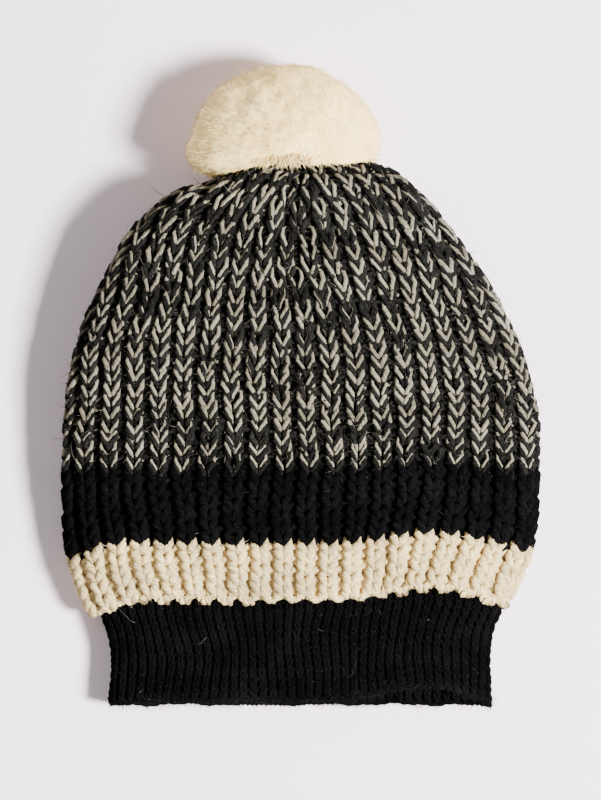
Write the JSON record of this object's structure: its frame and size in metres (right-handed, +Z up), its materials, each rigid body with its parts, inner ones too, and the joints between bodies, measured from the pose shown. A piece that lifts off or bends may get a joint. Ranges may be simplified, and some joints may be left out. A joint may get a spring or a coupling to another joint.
{
  "type": "pom pom beanie",
  "caption": "Ribbed winter hat lying flat, thick yarn in marl, black and cream bands above a finer ribbed cuff, with a gathered crown and a fluffy pom-pom that tips and turns on its tie.",
  "frame": {"origin": "under the middle of the whole object, on the surface the hat lies on", "axes": "+Y from the mouth to the pom-pom, +Z up and out of the hat's front, +X to the right of someone looking down at the front"},
  "size_m": [0.2388, 0.32, 0.0655],
  "materials": {
    "marl_yarn": "thick off-white and black wool strands knitted together, matt and slightly hairy",
    "black_yarn": "thick black wool, matt with a faint sheen of loose fibre",
    "cream_yarn": "thick cream wool, matt, yellower down in the ribs",
    "cuff_yarn": "fine black wool in a close rib, matt and slightly hairy",
    "pompom_pile": "dense cut cream wool pile, soft and matt",
    "tie_yarn": "plied cream wool",
    "seam_thread": "black linking yarn, matt",
    "label_cloth": "plain satin-woven tape, blank"
  },
  "bodies": {
    "hat": {"cuff_knit": "cuff_yarn", "cream_band_knit": "cream_yarn", "black_band_knit": "black_yarn", "crown_wall_knit": "marl_yarn", "crown_top_knit": "marl_yarn", "back_seam_yarn": "seam_thread", "front_dart_seam": "seam_thread", "left_dart_seam": "seam_thread", "right_dart_seam": "seam_thread", "care_label": "label_cloth", "label_stitch_upper": "seam_thread", "label_stitch_lower": "seam_thread", "crown_gather_yarn": "seam_thread"},
    "knot": {"tie_knot": "tie_yarn"},
    "tie": {"pompom_tie": "tie_yarn"},
    "pompom": {"pompom_binding": "tie_yarn", "pompom_tuft": "pompom_pile"}
  },
  "joints": [
    {"name": "pompom_twist", "type": "hinge", "parent": "hat", "child": "knot", "pos_m": [-0.006, 0.105, 0.033], "axis": [0, 1, 0], "range_deg": [-30, 30]},
    {"name": "pompom_sway", "type": "hinge", "parent": "knot", "child": "tie", "pos_m": [-0.006, 0.105, 0.033], "axis": [0, 0, 1], "range_deg": [-12, 12]},
    {"name": "pompom_nod", "type": "hinge", "parent": "tie", "child": "pompom", "pos_m": [-0.006, 0.105, 0.033], "axis": [1, 0, 0], "range_deg": [-12, 12]}
  ]
}
